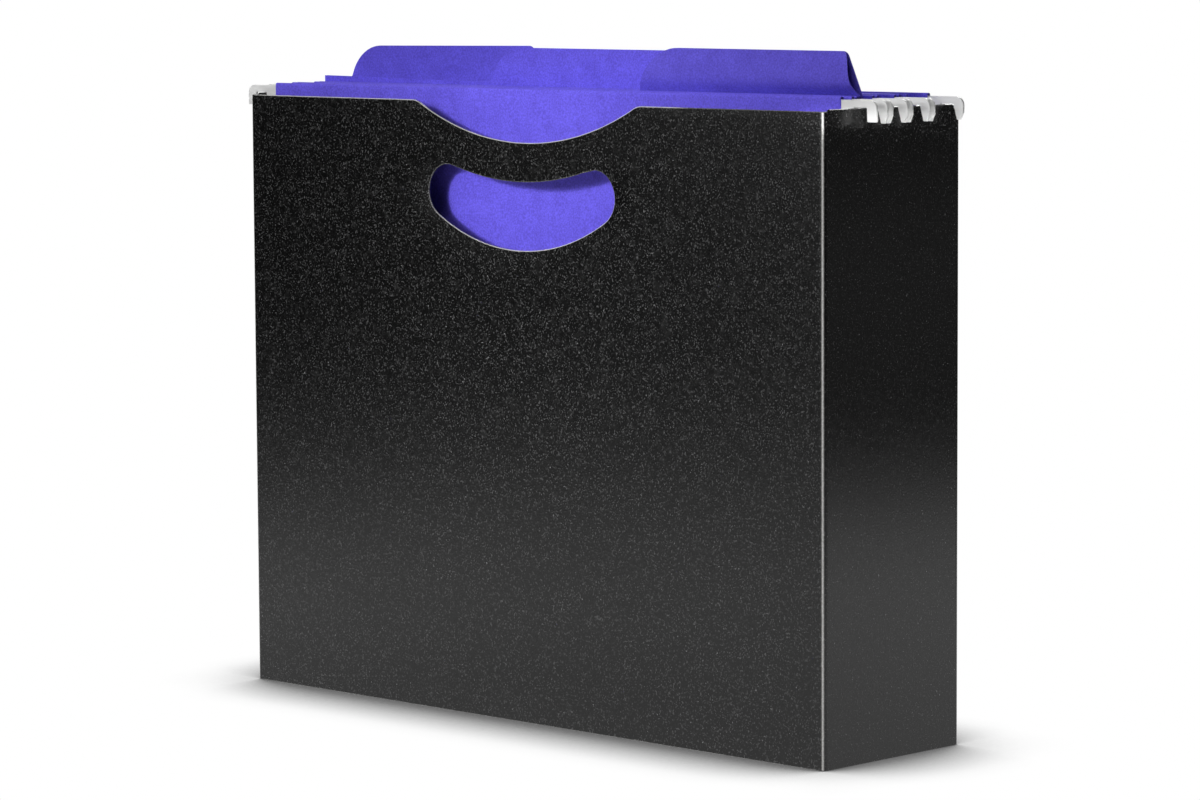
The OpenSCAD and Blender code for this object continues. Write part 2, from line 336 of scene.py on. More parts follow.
box = {
    "sheet": 1.0 * mm, "bend": 1.8 * mm, "cutEdge": 0.40 * mm, "flatEnd": 0.5 * mm,
    "hemDepth": 9 * mm, "hemSetback": 4.2 * mm, "hemStep": 0.6 * mm,
    "wallFoot": 0.2 * mm, "wallTop": 0.05 * mm,
    "baseFlange": 12 * mm, "baseBend": 1.4 * mm, "baseCorner": 2.4 * mm,
}
slot = {
    "width": 102.4 * mm, "end": 10.7 * mm, "drop": 35.8 * mm, "belly": 21.9 * mm, "crown": 4.8 * mm,
    "endSteps": 40, "crownSteps": 70, "bellySteps": 90,
}
scoop = {
    "depth": 15.6 * mm, "radius": 126 * mm, "corner": 10 * mm, "shift": 2.5 * mm,
    "steps": 90, "cornerSteps": 14, "straightPoints": 12,
}
panel = {
    "margin": 6 * mm, "raysBelow": 5 * mm, "rings": 9, "sidePoints": 48, "footPoints": 60, "bendPoints": 21,
}
# Painted highlights on the coat along edges. A cut edge takes the values of cut from the outer face inwards.
# It is brightest where it faces the light, given in X and Z, and dull right of dullFrom. The bend's painted
# highlight, a bright line, lies ridgeAt degrees round from the panel; foot, hem and bendTop are fainter ones.
shine = {
    "cut": (0, 0.7, 1, 1, 0.8, 0.1), "light": (-0.64, 0.77), "least": 0.1, "dullFrom": 84 * mm, "dull": 0.15,
    "foot": 0.3, "hem": 0.25, "bendTop": 0.2, "ridgeAt": 38, "ridgeWidth": 12,
}
boxLow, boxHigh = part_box("front_panel")
boxWidth = boxHigh.x - boxLow.x
boxHeight = boxHigh.z
boxDepth = -2 * boxLow.y
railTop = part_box("right_wall")[1].z


# A coated piece that rides on the box, and the node that it replaces, if it does
def makeBoxPiece(name, grids, caps, *replaced):
    piece = makePiece(name, grids, powderCoat, caps)
    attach(piece, "box")
    if replaced:
        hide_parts(*replaced)


# The hand slot, in X and Z: two round ends joined by two arcs tangent to them. Each arc's centre is
# (endX squared - s squared) / 2s above the middle of the line through the ends' centres. For the belly, s is
# its drop below that line less the ends' radius, and for the crown the ends' radius less its height above it.
def slotOutline():
    endX = slot["width"] / 2 - slot["end"]
    level = boxHeight - slot["drop"]
    belly = slot["belly"] - slot["end"]
    crown = slot["end"] - slot["crown"]
    bellyUp = (endX ** 2 - belly ** 2) / (2 * belly)
    crownUp = (endX ** 2 - crown ** 2) / (2 * crown)
    low = math.degrees(math.atan2(-bellyUp, endX))
    high = math.degrees(math.atan2(crownUp, -endX))
    line = np.vstack([
        arc((endX, 0), slot["end"], low, high, slot["endSteps"]),
        arc((0, crownUp), crownUp - slot["crown"], high - 180, -high, slot["crownSteps"])[1:],
        arc((-endX, 0), slot["end"], 180 - high, 180 - low, slot["endSteps"])[1:],
        arc((0, bellyUp), slot["belly"] + bellyUp, -180 - low, low, slot["bellySteps"])[1:-1]])
    return line + (0, level)


# The top edge from right to left: straight, with a round scoop let into it by two tangent corner arcs. The
# corners' centres lie the sum of both radii from the scoop's centre, at one corner's radius below the rim.
def rimLine(halfWidth):
    centre = boxHeight - scoop["depth"] + scoop["radius"]
    cornerZ = boxHeight - scoop["corner"]
    reach = math.sqrt((scoop["radius"] + scoop["corner"]) ** 2 - (centre - cornerZ) ** 2)
    slope = math.degrees(math.atan2(centre - cornerZ, reach))
    shift = scoop["shift"]
    return np.vstack([
        pairs(np.linspace(halfWidth, shift + reach, scoop["straightPoints"])[:-1], boxHeight),
        arc((shift + reach, cornerZ), scoop["corner"], 90, 180 - slope, scoop["cornerSteps"]),
        arc((shift, centre), scoop["radius"], -slope, slope - 180, scoop["steps"])[1:],
        arc((shift - reach, cornerZ), scoop["corner"], slope, 90, scoop["cornerSteps"])[1:],
        pairs(np.linspace(shift - reach, -halfWidth, scoop["straightPoints"])[1:], boxHeight)])


# The slot's outline with one point on each ray from the centre to a point of the border
def slotOnRays(centre, border):
    toSlot = slotOutline() - centre
    slotAngle = np.unwrap(np.arctan2(toSlot[:, 1], toSlot[:, 0]))
    rayAngle = np.arctan2(*(border - centre).T[::-1])
    period = 2 * math.pi
    lookup = (rayAngle - slotAngle[0]) % period + slotAngle[0]
    reach = np.hypot(*toSlot.T)
    radius = np.interp(lookup, np.append(slotAngle, slotAngle[0] + period), np.append(reach, reach[0]))
    return centre + radius[:, None] * pairs(np.cos(rayAngle), np.sin(rayAngle))


# The section of a cut edge, from the outer face to the inner one: a quarter circle at each face, as
# distances beyond the flat and depths below the outer face
def cutSection():
    edge, sheet = box["cutEdge"], box["sheet"]
    angle = np.radians(np.linspace(0, 90, len(shine["cut"])))
    out = edge * np.concatenate([np.sin(angle), np.cos(angle)])
    deep = np.concatenate([edge * (1 - np.cos(angle)), sheet - edge + edge * np.sin(angle)])
    return out, deep


# How bright the painted highlight on a cut edge is, from the way its outline faces the light
def shineOf(normal):
    least = shine["least"]
    return np.clip(least + (1 - least) * (normal @ np.array(shine["light"])), least, 1)


# The upright bends: a loop up the outer face, over the top edge, down the inner face and under the foot,
# turned a quarter circle about the bend's axis, with a short flat before and after. A point's radius is the
# bend's less its depth below the outer face. The painted highlight along the bend falls off as exp(-d
# squared), where d is the turn from ridgeAt over ridgeWidth, and the top cut edge takes a fainter painted
# highlight.
def bendGrids(side, sideZ, out, deep, cut):
    edge, bend, flatEnd = box["cutEdge"], box["bend"], box["flatEnd"]
    heights = np.concatenate([[edge], sideZ, [boxHeight - edge]])
    loopZ = np.concatenate([heights, (boxHeight - edge + out)[1:-1], heights[::-1], (edge - out)[::-1][1:-1]])
    loopDepth = np.concatenate([heights * 0, deep[1:-1], heights * 0 + box["sheet"], deep[::-1][1:-1]])
    turn = np.radians(np.pad(np.linspace(0, 90, panel["bendPoints"]), 1, "edge"))
    first, last = np.zeros((2, len(turn)))
    first[0] = flatEnd
    last[-1] = flatEnd
    radius = bend - loopDepth
    across = boxWidth / 2 - bend - first[:, None] + radius * np.sin(turn)[:, None]
    back = boxDepth / 2 - bend - last[:, None] + radius * np.cos(turn)[:, None]
    outside = np.arange(len(loopZ)) < len(heights)
    ridge = np.exp(-((np.degrees(turn) - shine["ridgeAt"]) / shine["ridgeWidth"]) ** 2)
    topCut = np.concatenate([heights * 0, shine["bendTop"] * cut[1:-1], heights * 0, cut[1:-1] * 0])
    mark = np.maximum(ridge[:, None] * outside, topCut)
    grids = [np.stack([hand * across, side * back, np.broadcast_to(loopZ, across.shape)], -1)
             for hand in (-1, 1)]
    return [(grid, False, True, mark) for grid in grids]


# A broad panel: rays from a point in the slot carry a grid of points from the slot to the panel's edges.
# The flat then runs on round both upright bends. Cut edges are rounded on both faces.
def makePanel(name, side, node):
    halfWidth = boxWidth / 2 - box["bend"] - box["flatEnd"]
    edge, sheet = box["cutEdge"], box["sheet"]
    out, deep = cutSection()
    cut = np.append(shine["cut"], np.zeros(len(out) - len(shine["cut"])))
    rim = rimLine(halfWidth)
    sideZ = np.linspace(panel["margin"], boxHeight - panel["margin"], panel["sidePoints"])
    footX = np.linspace(-halfWidth, halfWidth, panel["footPoints"])
    border = np.vstack([rim, pairs(-halfWidth, sideZ[::-1]), pairs(footX, 0), pairs(halfWidth, sideZ)])
    atRim = slice(0, len(rim))
    atFoot = slice(len(rim) + len(sideZ), len(rim) + len(sideZ) + len(footX))
    hole = slotOnRays(np.array([0, boxHeight - slot["drop"] - panel["raysBelow"]]), border)
    holeNormal = -lineNormals(hole, True)
    borderNormal = np.zeros_like(border)
    borderNormal[atRim] = lineNormals(rim)
    borderNormal[[0, len(rim) - 1]] = (0, 1)
    borderNormal[atFoot] = (0, -1)
    innerEdge = hole - holeNormal * edge
    outerEdge = border - borderNormal * edge
    share = np.linspace(0, 1, panel["rings"])[:, None, None]
    flat = innerEdge * (1 - share) + outerEdge * share

    def place(line, depth):
        depth = np.broadcast_to(depth, line.shape[:-1])
        return np.stack([line[..., 0], side * (boxDepth / 2 - depth), line[..., 1]], -1)

    def cutStrip(line, normal):
        return place(line[:, None] + normal[:, None] * out[None, :, None], deep)

    # Painted highlights on the cut edges of the slot, the rim and the foot
    rimShine = shineOf(borderNormal[atRim]) * np.where(rim[:, 0] > shine["dullFrom"], shine["dull"], 1)
    bends = bendGrids(side, sideZ, out, deep, cut)
    grids = [
        (place(flat, 0), False, True),
        (place(flat, sheet), False, True),
        (cutStrip(innerEdge, holeNormal), True, False, shineOf(holeNormal)[:, None] * cut),
        (cutStrip(outerEdge[atRim], borderNormal[atRim]), False, False, rimShine[:, None] * cut),
        (cutStrip(outerEdge[atFoot], borderNormal[atFoot]), False, False, shine["foot"] * cut), *bends]
    makeBoxPiece(name, grids, [bend[0][-1] for bend in bends], node)


# A profile in X and Z carried along Y, on the left (hand -1) or right (hand 1): its grid and its two caps
def carryAlongY(profile, halfLength, hand, mark=0.0):
    ends = np.array([-halfLength, halfLength])[:, None]
    grid = np.stack(np.broadcast_arrays(hand * profile[:, 0], ends, profile[:, 1]), -1)
    return (grid, False, True, mark), list(grid)


# An end wall: one sheet, and the hem that is rolled over its top edge and stops short of the bends
def makeWall(name, hand, node):
    outer = boxWidth / 2
    sheet, foot, top = box["sheet"], box["wallFoot"], box["wallTop"]
    wallTop = boxHeight - box["hemStep"]
    wall = roundedOutline([(outer - sheet, 0), (outer, 0), (outer, wallTop), (outer - sheet, wallTop)],
                          [foot, foot, top, top], steps=3)
    grid, caps = carryAlongY(wall, boxDepth / 2 - box["bend"] - box["flatEnd"], hand)
    makeBoxPiece(name, [grid], caps, node)
    hemFoot = railTop - box["hemDepth"]
    hem = np.vstack([[(outer, wallTop)], arc((outer - sheet, railTop - sheet), sheet, 0, 180, steps=16),
                     arc((outer - 1.5 * sheet, hemFoot + sheet / 2), sheet / 2, 180, 360, steps=8),
                     [(outer - sheet, wallTop)]])
    # Painted highlight along the rounded top of the hem
    mark = np.where(hem[:, 1] > railTop - sheet / 4, shine["hem"], 0)
    grid, caps = carryAlongY(hem, boxDepth / 2 - box["hemSetback"], hand, mark)
    makeBoxPiece(name.replace("Wall", "Rail"), [grid], caps)


# The base: a tray, whose flange and bend go round a rounded rectangle, with two flat faces for its floor
def makeBase():
    sheet, flange, bend = box["sheet"], box["baseFlange"], box["baseBend"]
    halfX = boxWidth / 2 - sheet
    halfY = boxDepth / 2 - sheet
    path = roundedOutline([(-halfX, -halfY), (halfX, -halfY), (halfX, halfY), (-halfX, halfY)],
                          [box["baseCorner"]] * 4, steps=8)
    section = np.vstack([arc((bend, bend), bend, 270, 180, steps=8), [(0, flange), (sheet, flange)],
                         arc((bend, bend), bend - sheet, 180, 270, steps=8)])
    plan = path - lineNormals(path, True) * section[:, :1, None]
    height = np.broadcast_to(section[:, 1, None, None], plan.shape[:2] + (1,))
    tray = np.concatenate([plan, height], -1)
    makeBoxPiece("basePan", [(tray, False, True)], [tray[0], tray[-1]], "base_pan")


makePanel("frontPanel", -1, "front_panel")
makePanel("backPanel", 1, "back_panel")
makeWall("leftWall", -1, "left_wall")
makeWall("rightWall", 1, "right_wall")
makeBase()
print("box made")


# Card

# A sheet is a grid of points through its middle, given its thickness both ways along its normals, with
# painted shade
def cardGrids(middle, thickness, paintedShade=0.0):
    alongRows = np.gradient(middle, axis=0)
    alongCols = np.gradient(middle, axis=1)
    normal = np.cross(alongRows, alongCols)
    normal /= np.linalg.norm(normal, axis=-1)[..., None]
    front = middle + normal * thickness / 2
    back = middle - normal * thickness / 2
    rims = [np.stack([front[0], back[0]]), np.stack([front[-1], back[-1]]),
            np.stack([front[:, 0], back[:, 0]]), np.stack([front[:, -1], back[:, -1]])]
    return [(grid, False, False, paintedShade) for grid in (front, back, *rims)]


# Points given along a rod, off it and in height, where the rod crosses X = 0 at y and has a turn on the plan
def alongRod(y, turn, along, off, height):
    return np.stack(np.broadcast_arrays(along * math.cos(turn) - off * math.sin(turn),
                                        y + along * math.sin(turn) + off * math.cos(turn), height), -1)


# Where a rod lies: the Y of its middle, and its turn on the plan, by the straight line that fits it best
def rodLine(node):
    co = np.array([v.co for v in nodes[node].data.vertices])
    middle = (co.max(0) + co.min(0)) / 2
    x, y = (co - middle)[:, :2].T
    return middle[1], math.atan2((x * y).sum(), (x ** 2).sum())


# Each of the waves has a length, a height, a share of the phase, and a slant down the sheet
folder = {
    "width": 298.5 * mm, "card": 0.3 * mm, "loopDrop": 12 * mm, "crease": 5 * mm, "footRound": 0.9 * mm,
    "hook": 1.1 * mm, "slack": 0.05 * mm,
    "wave": 0.175 * mm, "waveFade": 0.7, "phase": 2.4, "leafPhase": 0.37,
    "waves": ((38 * mm, 1.0, 1.0, 0), (17 * mm, 0.6, 2.1, 3), (71 * mm, 0.5, -1.0, 5)),
    "columns": 121, "innerPoints": 9, "loopSteps": 14, "outerPoints": 7, "leafPoints": 41, "footSteps": 6,
    "stripPoints": 7,
}
paperHalf = folder["width"] / 2
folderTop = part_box("folder_1_front_leaf")[1].z
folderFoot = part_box("folder_1_crease")[0].z
loopReach = folder["hook"] / 2 + folder["slack"] + folder["card"] / 2
loopTop = folderTop - folder["card"] / 2


# Gentle waves of a hanging sheet: a sum of sines across it, faded to nothing at its top and foot
def sheetWave(x, rise, seed):
    fade = np.sin(math.pi * np.clip(rise, 0, 1)) ** folder["waveFade"]
    phase = folder["phase"] * seed
    waves = sum(height * np.sin(x / length + share * phase + slant * rise)
                for length, height, share, slant in folder["waves"])
    return folder["wave"] * fade * waves


# One leaf as (outwards, height), from its loop's free edge, over the rod, down to its foot and round into the
# bottom strip, with the share of the way down its slanted part, where it waves
def leafLine(lean):
    loopBottom = folderTop - folder["loopDrop"]
    turnZ = loopTop - loopReach
    foot = folderFoot + folder["card"] / 2 + folder["footRound"]
    share = np.linspace(0, 1, folder["leafPoints"])[1:, None]
    held = np.vstack([
        pairs(-loopReach, np.linspace(loopBottom, turnZ, folder["innerPoints"])),
        arc((0, turnZ), loopReach, 180, 0, folder["loopSteps"])[1:],
        pairs(loopReach, np.linspace(turnZ, loopBottom, folder["outerPoints"])[1:])])
    slant = (1 - share) * (loopReach, loopBottom) + share * (loopReach - lean, foot)
    bendX = loopReach - lean - folder["footRound"]
    bend = arc((bendX, foot), folder["footRound"], 0, -90, folder["footSteps"])[1:]
    rise = np.concatenate([np.zeros(len(held)), share[:, 0], np.zeros(len(bend))])
    return np.vstack([held, slant, bend]), rise


# A hanging folder: front leaf, creased bottom and rear leaf in one sheet. Each leaf follows its own rod,
# and the bottom strip runs straight between their feet.
def makeFolder(number, swing):
    lines = {side: rodLine(f"folder_{number}_{word}_rod") for side, word in ((-1, "front"), (1, "rear"))}
    gap = lines[1][0] - lines[-1][0]
    lean = gap / 2 - folder["crease"] / 2 + loopReach + folder["card"] / 2
    line, rise = leafLine(lean)
    x = np.linspace(-paperHalf, paperHalf, folder["columns"])
    leaves = {}
    for side, (y, turn) in lines.items():
        wave = sheetWave(x[None], rise[:, None], number + folder["leafPhase"] * side)
        leaves[side] = alongRod(y, turn, x[None], side * (line[:, :1] + wave), line[:, 1:])
    share = np.linspace(0, 1, folder["stripPoints"])[1:-1, None, None]
    strip = leaves[-1][-1] * (1 - share) + leaves[1][-1] * share
    middle = np.concatenate([leaves[-1], strip, leaves[1][::-1]])
    piece = makePiece(f"folder{number}Card", cardGrids(middle, folder["card"]), folderCard)
    y, turn = lines[swing]
    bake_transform(piece)
    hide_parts(*(f"folder_{number}_{part}" for part in ("front_leaf", "crease", "rear_leaf")))
    return lines


# A finger's inner side slants by slant, its outer corner is cut off by cut, in X and Z, and it reaches drop
# below the rod
hook = {
    "grip": 10 * mm, "railGap": 0.4 * mm, "bar": 3.6 * mm, "reach": 3.7 * mm, "finger": 4.6 * mm,
    "step": 0.8 * mm, "corner": 3.2 * mm, "round": 0.35 * mm, "edge": 0.22 * mm,
    "square": {"slant": 0.2 * mm, "cut": (0.2 * mm, 0.4 * mm), "drop": 0},
    "slanted": {"slant": 1.7 * mm, "cut": (1.2 * mm, 2.9 * mm), "drop": 0.6 * mm},
}
rodLow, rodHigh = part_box("folder_1_front_rod")


# The pair of hooks on one rod: a bar in the paper loop, a notch over the rail and a finger outside the wall
def makeHooks(number, word, finger, body):
    y, turn = rodLine(f"folder_{number}_{word}_rod")
    x0 = paperHalf - hook["grip"]
    x1 = boxWidth / 2 - 2 * box["sheet"] - hook["railGap"]
    x2 = boxWidth / 2 + hook["reach"]
    x3 = x2 + hook["finger"]
    low, top, notch = rodLow.z, rodHigh.z - hook["step"], rodHigh.z - hook["bar"]
    tip = low - finger["drop"]
    cutX, cutZ = finger["cut"]
    small = hook["round"]
    outline = roundedOutline(
        [(x0, low), (x1, low), (x1, notch), (x2, notch), (x2 + finger["slant"], tip), (x3 - cutX, tip),
         (x3, tip + cutZ), (x3, top), (x0, top)],
        [small, small, small, small, small, small / 2, small / 2, hook["corner"], small], steps=5)
    flat, depth = plateLayers(outline, folder["hook"], hook["edge"])
    shapes = [alongRod(y, turn, hand * flat[..., 0], depth[:, None], flat[..., 1]) for hand in (-1, 1)]
    piece = makePiece(f"folder{number}{word.capitalize()}Hooks", [(shape, False, True) for shape in shapes],
                      whiteNylon, [shape[end] for shape in shapes for end in (0, -1)])
    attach(piece, body)
    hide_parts(f"folder_{number}_{word}_hooks")


rods = {}
for number in (1, 2, 3, 4):
    swing = -1 if number == 1 else 1
    rods[number] = makeFolder(number, swing)
    for side, word in ((-1, "front"), (1, "rear")):
        body = f"folder_{number}_flap" if side == swing else f"folder_{number}"
        makeHooks(number, word, hook["square" if (number, word) == (1, "front") else "slanted"], body)
        rod = nodes[f"folder_{number}_{word}_rod"]
        rod.data.materials.clear()
        rod.data.materials.append(rolledSteel)
print("folders made")


# Each file gives how far it leans forward, where its tab begins, the heights of its left and right shoulders
# and of both ends of the tab's top, how far the front ply of the tab bows at its left and right, how far the
# tab curls back, how far the left edge is drawn in, and how much painted shade darkens the card. Columns of
# points lie closest within dense of the tab's two ends.
tabbed = {
    "gap": 0.5 * mm, "card": 0.3 * mm, "tabWidth": 110 * mm, "slant": 23.5, "tabMargin": 2 * mm,
    "leftRound": 18 * mm, "rightRound": 3 * mm, "footRound": 1.3 * mm, "split": 236 * mm, "dense": 12 * mm,
    "bowFoot": 247.5 * mm, "bowRamp": 20 * mm, "bowSkew": 0.66, "bowAbove": 1.4, "bowBelow": 3.0,
    "bowGrowth": 1.5, "wave": 0.25, "phase": 0.6,
    "columns": 121, "tabColumns": 80, "denseColumns": 81, "lowerPoints": 24, "upperPoints": 25,
    "foldPoints": 9, "cornerSteps": 20,
}
# Painted shade makes the right and left files' card darker than the centre one's, as the light falls on their
# tabs
files = {
    "file_right": {"piece": "fileRight", "folder": 2, "lean": 2.0 * mm, "tabLeft": 39.25 * mm,
                   "shoulders": (248.6 * mm, 248.6 * mm), "tops": (265.4 * mm, 265.2 * mm),
                   "bow": (1.8 * mm, 4.3 * mm), "curl": 0, "inset": 0, "paintedShade": 0.16},
    "file_centre": {"piece": "fileCentre", "folder": 3, "lean": 2.3 * mm, "tabLeft": -53.7 * mm,
                    "shoulders": (251.3 * mm, 247.5 * mm), "tops": (264.0 * mm, 263.9 * mm),
                    "bow": None, "curl": 1.4 * mm, "inset": 1.6 * mm, "paintedShade": 0.0},
    "file_left": {"piece": "fileLeft", "folder": 4, "lean": 4.4 * mm, "tabLeft": -145.45 * mm,
                  "shoulders": (250.3 * mm, 248.6 * mm), "tops": (263.5 * mm, 264.5 * mm),
                  "bow": None, "curl": 0, "inset": 0, "paintedShade": 0.08},
}
fileReach = max(max(plan["tops"]) for plan in files.values())


# Height of a file's top edge at each x: shoulders that slope evenly from end to end, and a rounded tab
def topEdge(x, plan, withTab):
    left, right = plan["shoulders"]
    level = left + (right - left) * (x + paperHalf) / (2 * paperHalf)
    if not withTab:
        return level
    feet = np.array([plan["tabLeft"], min(plan["tabLeft"] + tabbed["tabWidth"], paperHalf)])
    footZ = left + (right - left) * (feet + paperHalf) / (2 * paperHalf)
    tops = np.array(plan["tops"])
    crown = feet + (tops - footZ) * math.tan(math.radians(tabbed["slant"])) * (1, -1)
    far = 2 * paperHalf
    foot, margin = tabbed["footRound"], tabbed["tabMargin"]
    corners = [(-far, left - far), (-far, footZ[0]), (feet[0], footZ[0]), (crown[0], tops[0]),
               (crown[1], tops[1]), (feet[1], footZ[1]), (far, footZ[1]), (far, left - far)]
    radii = [mm, mm, foot, tabbed["leftRound"], tabbed["rightRound"], foot, mm, mm]
    steps = tabbed["cornerSteps"]
    line = roundedOutline(corners, radii, steps)[steps + 1:-steps - 1]
    line = line[np.argsort(line[:, 0])]
    raised = np.maximum(np.interp(x, *line.T), level)
    return np.where((x > feet[0] - margin) & (x < feet[1] + margin), raised, level)


# How far the front ply of a tab stands forward between its foot and its top: a sine of the height's share
# to the power bowSkew, itself raised to bowAbove past its peak and to bowBelow before it. To the right it
# grows by the share of the tab's width to the power bowGrowth, and left of the tab it eases in.
def bowAt(x, z, plan):
    if plan["bow"] is None:
        return np.zeros(np.broadcast(x, z).shape)
    foot, top = tabbed["bowFoot"], plan["tops"][0]
    share = np.clip((z - foot) / (top - foot), 0, 1) ** tabbed["bowSkew"]
    swell = np.sin(math.pi * share) ** np.where(share > 0.5, tabbed["bowAbove"], tabbed["bowBelow"])
    along = np.clip((x - plan["tabLeft"]) / tabbed["tabWidth"], 0, 1)
    near = np.clip((x - plan["tabLeft"]) / tabbed["bowRamp"] + 1, 0, 1)
    low, high = plan["bow"]
    return swell * (low * near ** 2 * (3 - 2 * near) + (high - low) * along ** tabbed["bowGrowth"])


# Where the points of a file lie across: even, with more of them over the tab and most at the tab's two
# ends. They are rounded to a hundredth of a millimetre, so no two lie closer than that.
def fileColumns(plan):
    start = plan["inset"] - paperHalf
    tabEnds = [plan["tabLeft"], plan["tabLeft"] + tabbed["tabWidth"]]
    even = np.linspace(-paperHalf, paperHalf, tabbed["columns"])
    dense = [np.linspace(end - tabbed["dense"], end + tabbed["dense"], tabbed["denseColumns"])
             for end in tabEnds]
    x = np.concatenate([even, *dense, np.linspace(*tabEnds, tabbed["tabColumns"])])
    x = np.unique(np.round(x[(x <= paperHalf) & (x > start)], 5))
    return np.append(start, x)


# A file: front ply, bottom fold and rear ply in one sheet, leaning a little. The rear ply carries the tab,
# and the front one too where a bow is given. A curl draws the tab back as the square of its height.
def makeFile(name, plan):
    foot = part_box(name)[0].z
    front, rear = rods[plan["folder"]][-1], rods[plan["folder"]][1]
    y, turn = (front[0] + rear[0]) / 2, (front[1] + rear[1]) / 2
    tilt = math.atan2(plan["lean"], folderTop - foot)
    x = fileColumns(plan)
    split = tabbed["split"]
    reach = (tabbed["gap"] + tabbed["card"]) / 2
    lowest = foot + reach + tabbed["card"] / 2
    share = np.linspace(0, 1, tabbed["upperPoints"])[:, None]
    lower = np.linspace(lowest, split, tabbed["lowerPoints"])[:-1, None] + 0 * x
    frontZ, rearZ = (np.vstack([lower, split + (topEdge(x, plan, withTab) - split) * share])
                     for withTab in (plan["bow"] is not None, True))
    seed = plan["folder"] + tabbed["phase"]
    frontWave, rearWave = (tabbed["wave"] * sheetWave(x, (z - foot) / (folderTop - foot), seed)
                           for z in (frontZ, rearZ))
    foldAngle = np.radians(np.linspace(180, 360, tabbed["foldPoints"])[1:-1])[:, None] + 0 * x
    fold = pairs(reach * np.cos(foldAngle), lowest + reach * np.sin(foldAngle))
    curl = plan["curl"] * np.clip((rearZ - split) / (fileReach - split), 0, 1) ** 2
    frontPly = pairs(-reach - bowAt(x, frontZ, plan) + frontWave, frontZ)[::-1]
    rearPly = pairs(reach + rearWave + curl, rearZ)
    off, rise = np.moveaxis(np.concatenate([frontPly, fold, rearPly]) - (0, foot), -1, 0)
    middle = alongRod(y, turn, x, off * math.cos(tilt) - rise * math.sin(tilt),
                      foot + off * math.sin(tilt) + rise * math.cos(tilt))
    piece = makePiece(plan["piece"], cardGrids(middle, tabbed["card"], plan["paintedShade"]), fileCard)
    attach(piece, name)
    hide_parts(name)


for name, plan in files.items():
    makeFile(name, plan)
print("files made")


# Camera, floor and light

camera = {
    "azimuth": 44.25, "elevation": 5.83, "roll": -0.31, "place": (1.2508, -1.2788, 0.3074), "lens": 135.68,
    "sensor": 36, "farClip": 50,
}


# The camera's place and turns are those that fit the box's corners in the photograph
def makeCamera():
    azimuth, elevation, roll = (math.radians(camera[k]) for k in ("azimuth", "elevation", "roll"))
    data = bpy.data.cameras.new("camera")
    data.lens = camera["lens"]
    data.sensor_width = camera["sensor"]
    data.clip_end = camera["farClip"]
    eye = bpy.data.objects.new("camera", data)
    turn = (Matrix.Rotation(azimuth, 4, "Z") @ Matrix.Rotation(math.pi / 2 - elevation, 4, "X")
            @ Matrix.Rotation(roll, 4, "Z"))
    eye.matrix_world = Matrix.Translation(camera["place"]) @ turn
    bpy.context.scene.collection.objects.link(eye)
    bpy.context.scene.camera = eye


# Tones and distances of the floor. In reflections it goes from near to far, dimmed close to the box. To the
# camera it is darkest where most of the sky is shut out, within the reach of the contact shadow.
floorLook = {
    "half": 6.0, "drop": 0.02 * mm, "roughness": 0.9, "table": 0.85,
    "fall": (0.6, 0.95), "nearTone": 0.98, "farTone": 0.02, "dimSpan": (0.12, 0.4), "dim": 0.7,
    "contact": 0.06, "samples": 16, "shutSpan": (0.52, 0.905), "darkest": 0.13,
}


# The floor is white to the camera, darker where the box shuts out the light. In reflections it is white
# near the box and falls off to a dark room, and other light finds a white table there.
def makeFloor():
    half = floorLook["half"]
    mesh = bpy.data.meshes.new("floor")
    corners = [(-half, -half, 0), (half, -half, 0), (half, half, 0), (-half, half, 0)]
    mesh.from_pydata(corners, [], [(0, 1, 2, 3)])
    floor = bpy.data.objects.new("floor", mesh)
    floor.location.z = -floorLook["drop"]
    bpy.context.scene.collection.objects.link(floor)
    material, tree, shader = newMaterial(
        "paleFloor", Roughness=floorLook["roughness"], Specular_IOR_Level=0.0)
    where = addNode(tree, "ShaderNodeTexCoord").outputs["Object"]
    distance = addNode(tree, "ShaderNodeVectorMath", {0: where}, operation="LENGTH").outputs["Value"]
    table = remap(tree, distance, floorLook["fall"], (floorLook["table"], floorLook["farTone"]))
    tree.links.new(table, shader.inputs["Base Color"])
    openness = addNode(tree, "ShaderNodeAmbientOcclusion", {"Distance": floorLook["contact"]},
                       samples=floorLook["samples"]).outputs["AO"]
    tone = remap(tree, openness, floorLook["shutSpan"], (floorLook["darkest"], 1.0))
    far = remap(tree, distance, floorLook["fall"], (floorLook["nearTone"], floorLook["farTone"]))
    dim = remap(tree, distance, floorLook["dimSpan"], (floorLook["dim"], 1.0))
    mirrored = maths(tree, "MULTIPLY", far, dim)
    path = addNode(tree, "ShaderNodeLightPath").outputs
    strength = mixValues(tree, path["Is Glossy Ray"], tone, mirrored)
    glow = addNode(tree, "ShaderNodeEmission", {"Color": white, "Strength": strength})
    seen = maths(tree, "MAXIMUM", path["Is Camera Ray"], path["Is Glossy Ray"])
    blend = addNode(tree, "ShaderNodeMixShader", {0: seen, 1: shader.outputs[0], 2: glow.outputs[0]})
    tree.links.new(blend.outputs[0], tree.nodes["Material Output"].inputs["Surface"])
    mesh.materials.append(material)


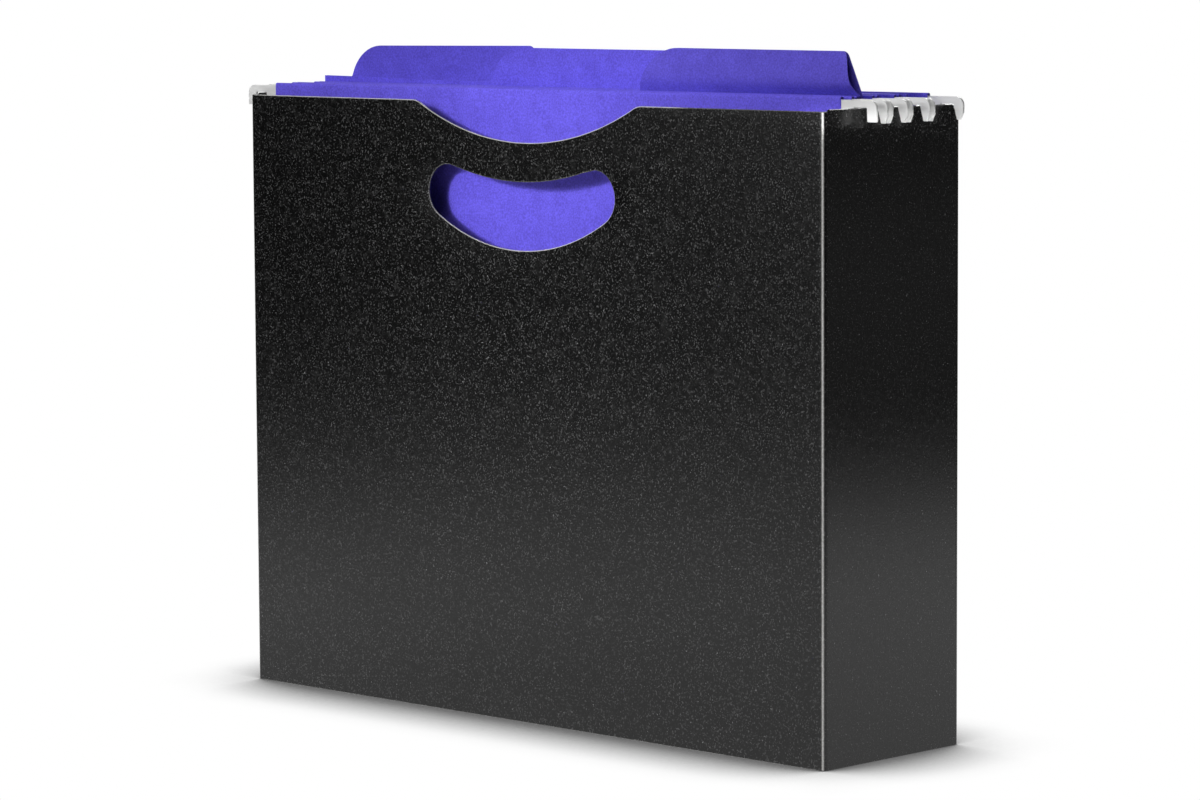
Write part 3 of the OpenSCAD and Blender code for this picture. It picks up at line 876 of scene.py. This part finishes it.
# Lamps stand at an azimuth, elevation and distance from the point that they aim at. One with an angle is a
# spot, one with a height a rectangle, and the rest are discs.
lampAim = (0, 0, 0.13)
lamps = {
    "key": {"azimuth": 0, "elevation": 19, "distance": 1.7, "size": 0.5, "watts": 12.4},
    "above": {"azimuth": 10, "elevation": 56, "distance": 1.5, "size": 0.7, "watts": 4},
    "accent": {"azimuth": 0, "elevation": 17, "distance": 1.2, "aim": (0.0, -0.03, 0.184), "watts": 66,
               "angle": 7.2, "blend": 1.0, "radius": 0.09},
    "hooks": {"azimuth": 46, "elevation": 3, "distance": 0.3, "aim": (0.16, 0.0, 0.239), "watts": 0.0017,
              "size": 0.075, "height": 0.006, "spread": 2.5},
    "back": {"azimuth": 205, "elevation": 32, "distance": 1.7, "size": 0.6, "watts": 14},
    "behind": {"azimuth": 135, "elevation": 0, "distance": 2.2, "size": 0.6, "watts": 0.2},
    "glow": {"azimuth": -30, "elevation": 6, "distance": 2.2, "size": 0.5, "watts": 1.2},
}


# A lamp stands off from its aim by its distance, and shines back along the same line
def makeLamp(name, plan):
    azimuth, elevation = math.radians(plan["azimuth"]), math.radians(plan["elevation"])
    away = Vector((math.sin(azimuth) * math.cos(elevation), -math.cos(azimuth) * math.cos(elevation),
                   math.sin(elevation)))
    data = bpy.data.lights.new(name, "SPOT" if "angle" in plan else "AREA")
    if "angle" in plan:
        data.spot_size = math.radians(plan["angle"])
        data.spot_blend = plan["blend"]
        data.shadow_soft_size = plan["radius"]
    else:
        data.shape = "RECTANGLE" if "height" in plan else "DISK"
        data.size = plan["size"]
    if "height" in plan:
        data.size_y = plan["height"]
        data.spread = math.radians(plan["spread"])
    data.energy = plan["watts"]
    lamp = bpy.data.objects.new(name, data)
    lamp.location = Vector(plan.get("aim", lampAim)) + away * plan["distance"]
    lamp.rotation_euler = away.to_track_quat("Z", "Y").to_euler()
    lamp.visible_camera = False
    bpy.context.scene.collection.objects.link(lamp)


room = {"ambient": 0.09, "horizon": 0.04, "zenith": 1.0, "riseSpan": (0.3, 0.8)}


# The world is white to the camera. In reflections it is dark near the horizon and white overhead, and it
# lights the object softly.
def makeWorld():
    world = bpy.data.worlds.new("studio")
    bpy.context.scene.world = world
    world.use_nodes = True
    tree = world.node_tree
    tree.nodes.clear()
    path = addNode(tree, "ShaderNodeLightPath").outputs
    direction = addNode(tree, "ShaderNodeTexCoord").outputs["Generated"]
    rise = addNode(tree, "ShaderNodeSeparateXYZ", {0: direction}).outputs["Z"]
    mirrored = remap(tree, rise, room["riseSpan"], (room["horizon"], room["zenith"]))
    seen = maths(tree, "MAXIMUM", path["Is Camera Ray"], path["Is Transmission Ray"])
    unseen = mixValues(tree, path["Is Glossy Ray"], room["ambient"], mirrored)
    strength = mixValues(tree, seen, unseen, 1.0)
    background = addNode(tree, "ShaderNodeBackground", {"Color": white, "Strength": strength})
    output = addNode(tree, "ShaderNodeOutputWorld")
    tree.links.new(background.outputs[0], output.inputs["Surface"])


makeCamera()
makeFloor()
for name, plan in lamps.items():
    makeLamp(name, plan)
makeWorld()
bpy.context.scene.view_settings.view_transform = "Standard"
print("studio made")

bpy.context.view_layer.update()
